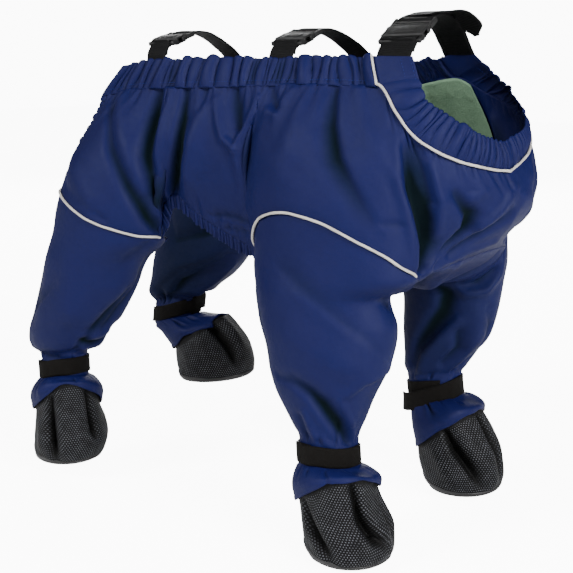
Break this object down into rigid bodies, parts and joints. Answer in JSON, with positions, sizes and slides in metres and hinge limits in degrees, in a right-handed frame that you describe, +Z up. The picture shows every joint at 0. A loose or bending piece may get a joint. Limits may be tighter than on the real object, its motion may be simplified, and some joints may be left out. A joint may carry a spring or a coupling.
{
  "type": "dog snowsuit",
  "caption": "Dog snowsuit with legs and boots, gathered waist and collar, open belly and buckled back straps, in its worn shape with no wearer.",
  "frame": {"origin": "underside of the middle back strap, at its centre, where the wearer's back carries the suit", "axes": "+X to the wearer's nose, +Y to its left, +Z up"},
  "size_m": [0.5723, 0.3223, 0.5408],
  "materials": {
    "shell_nylon": "coated nylon with a soft gloss, navy",
    "lining": "brushed lining, pale green, matte",
    "reflective_piping": "reflective piping, light grey",
    "webbing": "woven nylon webbing, black",
    "buckle_plastic": "moulded plastic, black, satin",
    "ankle_elastic": "woven elastic with hook and loop, brownish black",
    "boot_mesh": "dotted rubber print on cloth, charcoal",
    "boot_sole": "smooth rubber, black"
  },
  "bodies": {
    "root": {"ankle_strap_fore_L": "ankle_elastic", "ankle_strap_fore_R": "ankle_elastic", "ankle_strap_hind_L": "ankle_elastic", "ankle_strap_hind_R": "ankle_elastic", "belly_elastic_L": "shell_nylon", "belly_elastic_R": "shell_nylon", "body_panel": "shell_nylon", "boot_fore_L": "boot_mesh", "boot_fore_R": "boot_mesh", "boot_hind_L": "boot_mesh", "boot_hind_R": "boot_mesh", "buckle_plug_middle": "buckle_plastic", "buckle_plug_neck": "buckle_plastic", "buckle_plug_rear": "buckle_plastic", "buckle_socket_middle": "buckle_plastic", "buckle_socket_neck": "buckle_plastic", "buckle_socket_rear": "buckle_plastic", "chest_elastic": "shell_nylon", "chest_panel": "shell_nylon", "collar": "shell_nylon", "cuff_fore_L": "shell_nylon", "cuff_fore_R": "shell_nylon", "cuff_hind_L": "shell_nylon", "cuff_hind_R": "shell_nylon", "leg_fore_L": "shell_nylon", "leg_fore_R": "shell_nylon", "leg_hind_L": "shell_nylon", "leg_hind_R": "shell_nylon", "lining_L": "lining", "lining_R": "lining", "neck_piping": "reflective_piping", "piping_fore_L": "reflective_piping", "piping_fore_R": "reflective_piping", "piping_hind_L": "reflective_piping", "piping_hind_R": "reflective_piping", "rump_elastic_L": "shell_nylon", "rump_elastic_R": "shell_nylon", "sole_fore_L": "boot_sole", "sole_fore_R": "boot_sole", "sole_hind_L": "boot_sole", "sole_hind_R": "boot_sole", "strap_middle": "webbing", "strap_neck": "webbing", "strap_rear": "webbing", "strap_stub_middle": "webbing", "strap_stub_neck": "webbing", "strap_stub_rear": "webbing", "strap_tail_neck": "webbing", "thigh_elastic_L": "shell_nylon", "thigh_elastic_R": "shell_nylon", "waistband_L": "shell_nylon", "waistband_R": "shell_nylon"}
  },
  "joints": []
}
